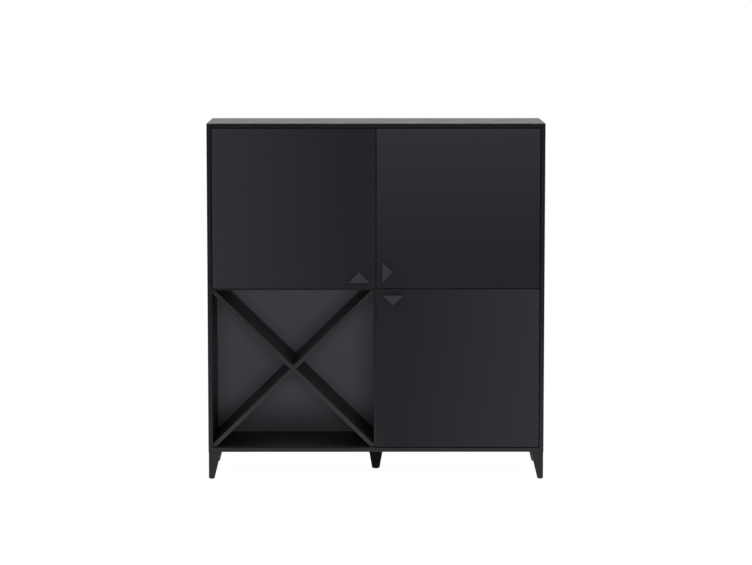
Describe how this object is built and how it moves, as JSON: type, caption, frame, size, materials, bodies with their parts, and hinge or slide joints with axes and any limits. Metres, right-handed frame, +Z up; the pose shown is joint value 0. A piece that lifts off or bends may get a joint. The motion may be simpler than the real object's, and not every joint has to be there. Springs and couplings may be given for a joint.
{
  "type": "highboard cabinet",
  "caption": "Tall cabinet on tapered legs, with inset hinged doors, triangular pulls and an open bay crossed by a bottle divider.",
  "frame": {"origin": "on the floor, under the middle of the cabinet with its handles", "axes": "+Z up; the doors face -Y; +X to the right as seen from the front, the open bay at the lower left"},
  "size_m": [1.3, 0.4371, 1.38],
  "materials": {
    "carcass_board": "near-black laminated board, satin, fine grain",
    "door_board": "blue-black laminated board, satin, fine brushed grain",
    "back_board": "dark grey thin fibreboard, matt",
    "handle_lacquer": "satin black lacquer over cast metal",
    "leg_lacquer": "satin black lacquer over planed wood",
    "hinge_steel": "nickel-plated pressed steel",
    "pin_steel": "nickel-plated turned steel",
    "clear_bumper": "clear soft polyurethane",
    "glide_plastic": "black moulded plastic"
  },
  "bodies": {
    "carcass": {"top_panel": "carcass_board", "bottom_panel": "carcass_board", "left_side": "carcass_board", "right_side": "carcass_board", "middle_wall": "carcass_board", "back_panel_left": "back_board", "back_panel_right": "back_board", "fixed_shelf_left": "carcass_board", "fixed_shelf_right": "carcass_board", "cross_board_rising": "carcass_board", "cross_board_falling": "carcass_board", "leg_front_left": "leg_lacquer", "glide_front_left": "glide_plastic", "leg_front_right": "leg_lacquer", "glide_front_right": "glide_plastic", "leg_back_left": "leg_lacquer", "glide_back_left": "glide_plastic", "leg_back_right": "leg_lacquer", "glide_back_right": "glide_plastic", "leg_middle": "leg_lacquer", "glide_middle": "glide_plastic", "upper_left_hinge_arm_low": "hinge_steel", "upper_left_hinge_arm_high": "hinge_steel", "upper_left_bumper": "clear_bumper", "upper_left_shelf": "carcass_board", "upper_left_shelf_pin_inner_front": "pin_steel", "upper_left_shelf_pin_inner_back": "pin_steel", "upper_left_shelf_pin_outer_front": "pin_steel", "upper_left_shelf_pin_outer_back": "pin_steel", "upper_right_hinge_arm_low": "hinge_steel", "upper_right_hinge_arm_high": "hinge_steel", "upper_right_bumper": "clear_bumper", "upper_right_shelf": "carcass_board", "upper_right_shelf_pin_inner_front": "pin_steel", "upper_right_shelf_pin_inner_back": "pin_steel", "upper_right_shelf_pin_outer_front": "pin_steel", "upper_right_shelf_pin_outer_back": "pin_steel", "lower_right_hinge_arm_low": "hinge_steel", "lower_right_hinge_arm_high": "hinge_steel", "lower_right_bumper": "clear_bumper", "lower_right_shelf": "carcass_board", "lower_right_shelf_pin_inner_front": "pin_steel", "lower_right_shelf_pin_inner_back": "pin_steel", "lower_right_shelf_pin_outer_front": "pin_steel", "lower_right_shelf_pin_outer_back": "pin_steel"},
    "upper_left_leaf": {"upper_left_door": "door_board", "upper_left_handle": "handle_lacquer", "upper_left_handle_screw": "pin_steel", "upper_left_hinge_cup_low": "hinge_steel", "upper_left_hinge_cup_high": "hinge_steel"},
    "upper_right_leaf": {"upper_right_door": "door_board", "upper_right_handle": "handle_lacquer", "upper_right_handle_screw": "pin_steel", "upper_right_hinge_cup_low": "hinge_steel", "upper_right_hinge_cup_high": "hinge_steel"},
    "lower_right_leaf": {"lower_right_door": "door_board", "lower_right_handle": "handle_lacquer", "lower_right_handle_screw": "pin_steel", "lower_right_hinge_cup_low": "hinge_steel", "lower_right_hinge_cup_high": "hinge_steel"}
  },
  "joints": [
    {"name": "upper_left_door_hinge", "type": "hinge", "parent": "carcass", "child": "upper_left_leaf", "pos_m": [-0.631, -0.20035, 1.05275], "axis": [0, 0, -1], "range_deg": [0, 105]},
    {"name": "upper_right_door_hinge", "type": "hinge", "parent": "carcass", "child": "upper_right_leaf", "pos_m": [0.631, -0.20035, 1.05275], "axis": [0, 0, 1], "range_deg": [0, 105]},
    {"name": "lower_right_door_hinge", "type": "hinge", "parent": "carcass", "child": "lower_right_leaf", "pos_m": [0.631, -0.20035, 0.43325], "axis": [0, 0, 1], "range_deg": [0, 105]}
  ]
}
